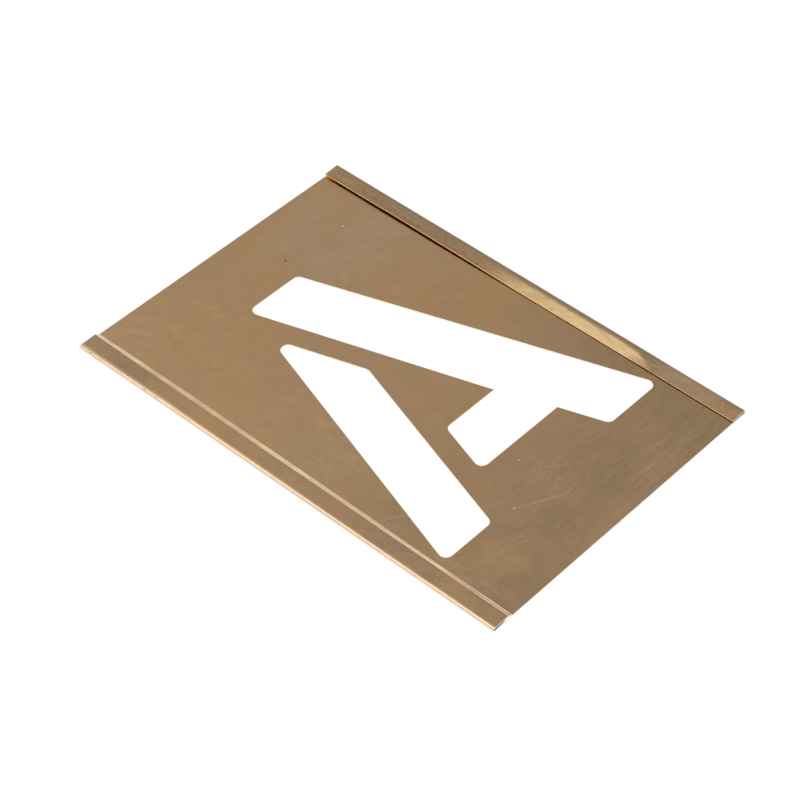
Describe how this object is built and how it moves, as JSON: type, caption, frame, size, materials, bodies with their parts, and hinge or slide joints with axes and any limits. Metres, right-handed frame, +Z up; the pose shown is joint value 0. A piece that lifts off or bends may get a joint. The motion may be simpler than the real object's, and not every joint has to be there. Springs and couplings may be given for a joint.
{
  "type": "lettering stencil",
  "caption": "Brass interlocking stencil plate with the cut-out capital letter A, a hooked lip along one side and a stepped, hemmed flange along the other",
  "frame": {"origin": "middle of the plate's length and overall width, on its flat underside", "axes": "+X across the plate from the hemmed edge to the hooked edge, +Y up the letter towards its apex, +Z up out of the plate's upper face"},
  "size_m": [0.104, 0.1494, 0.0015],
  "materials": {
    "sheet_brass": "satin rolled brass, tarnished and finely scratched"
  },
  "bodies": {
    "root": {"stencil_plate": "sheet_brass"}
  },
  "joints": []
}
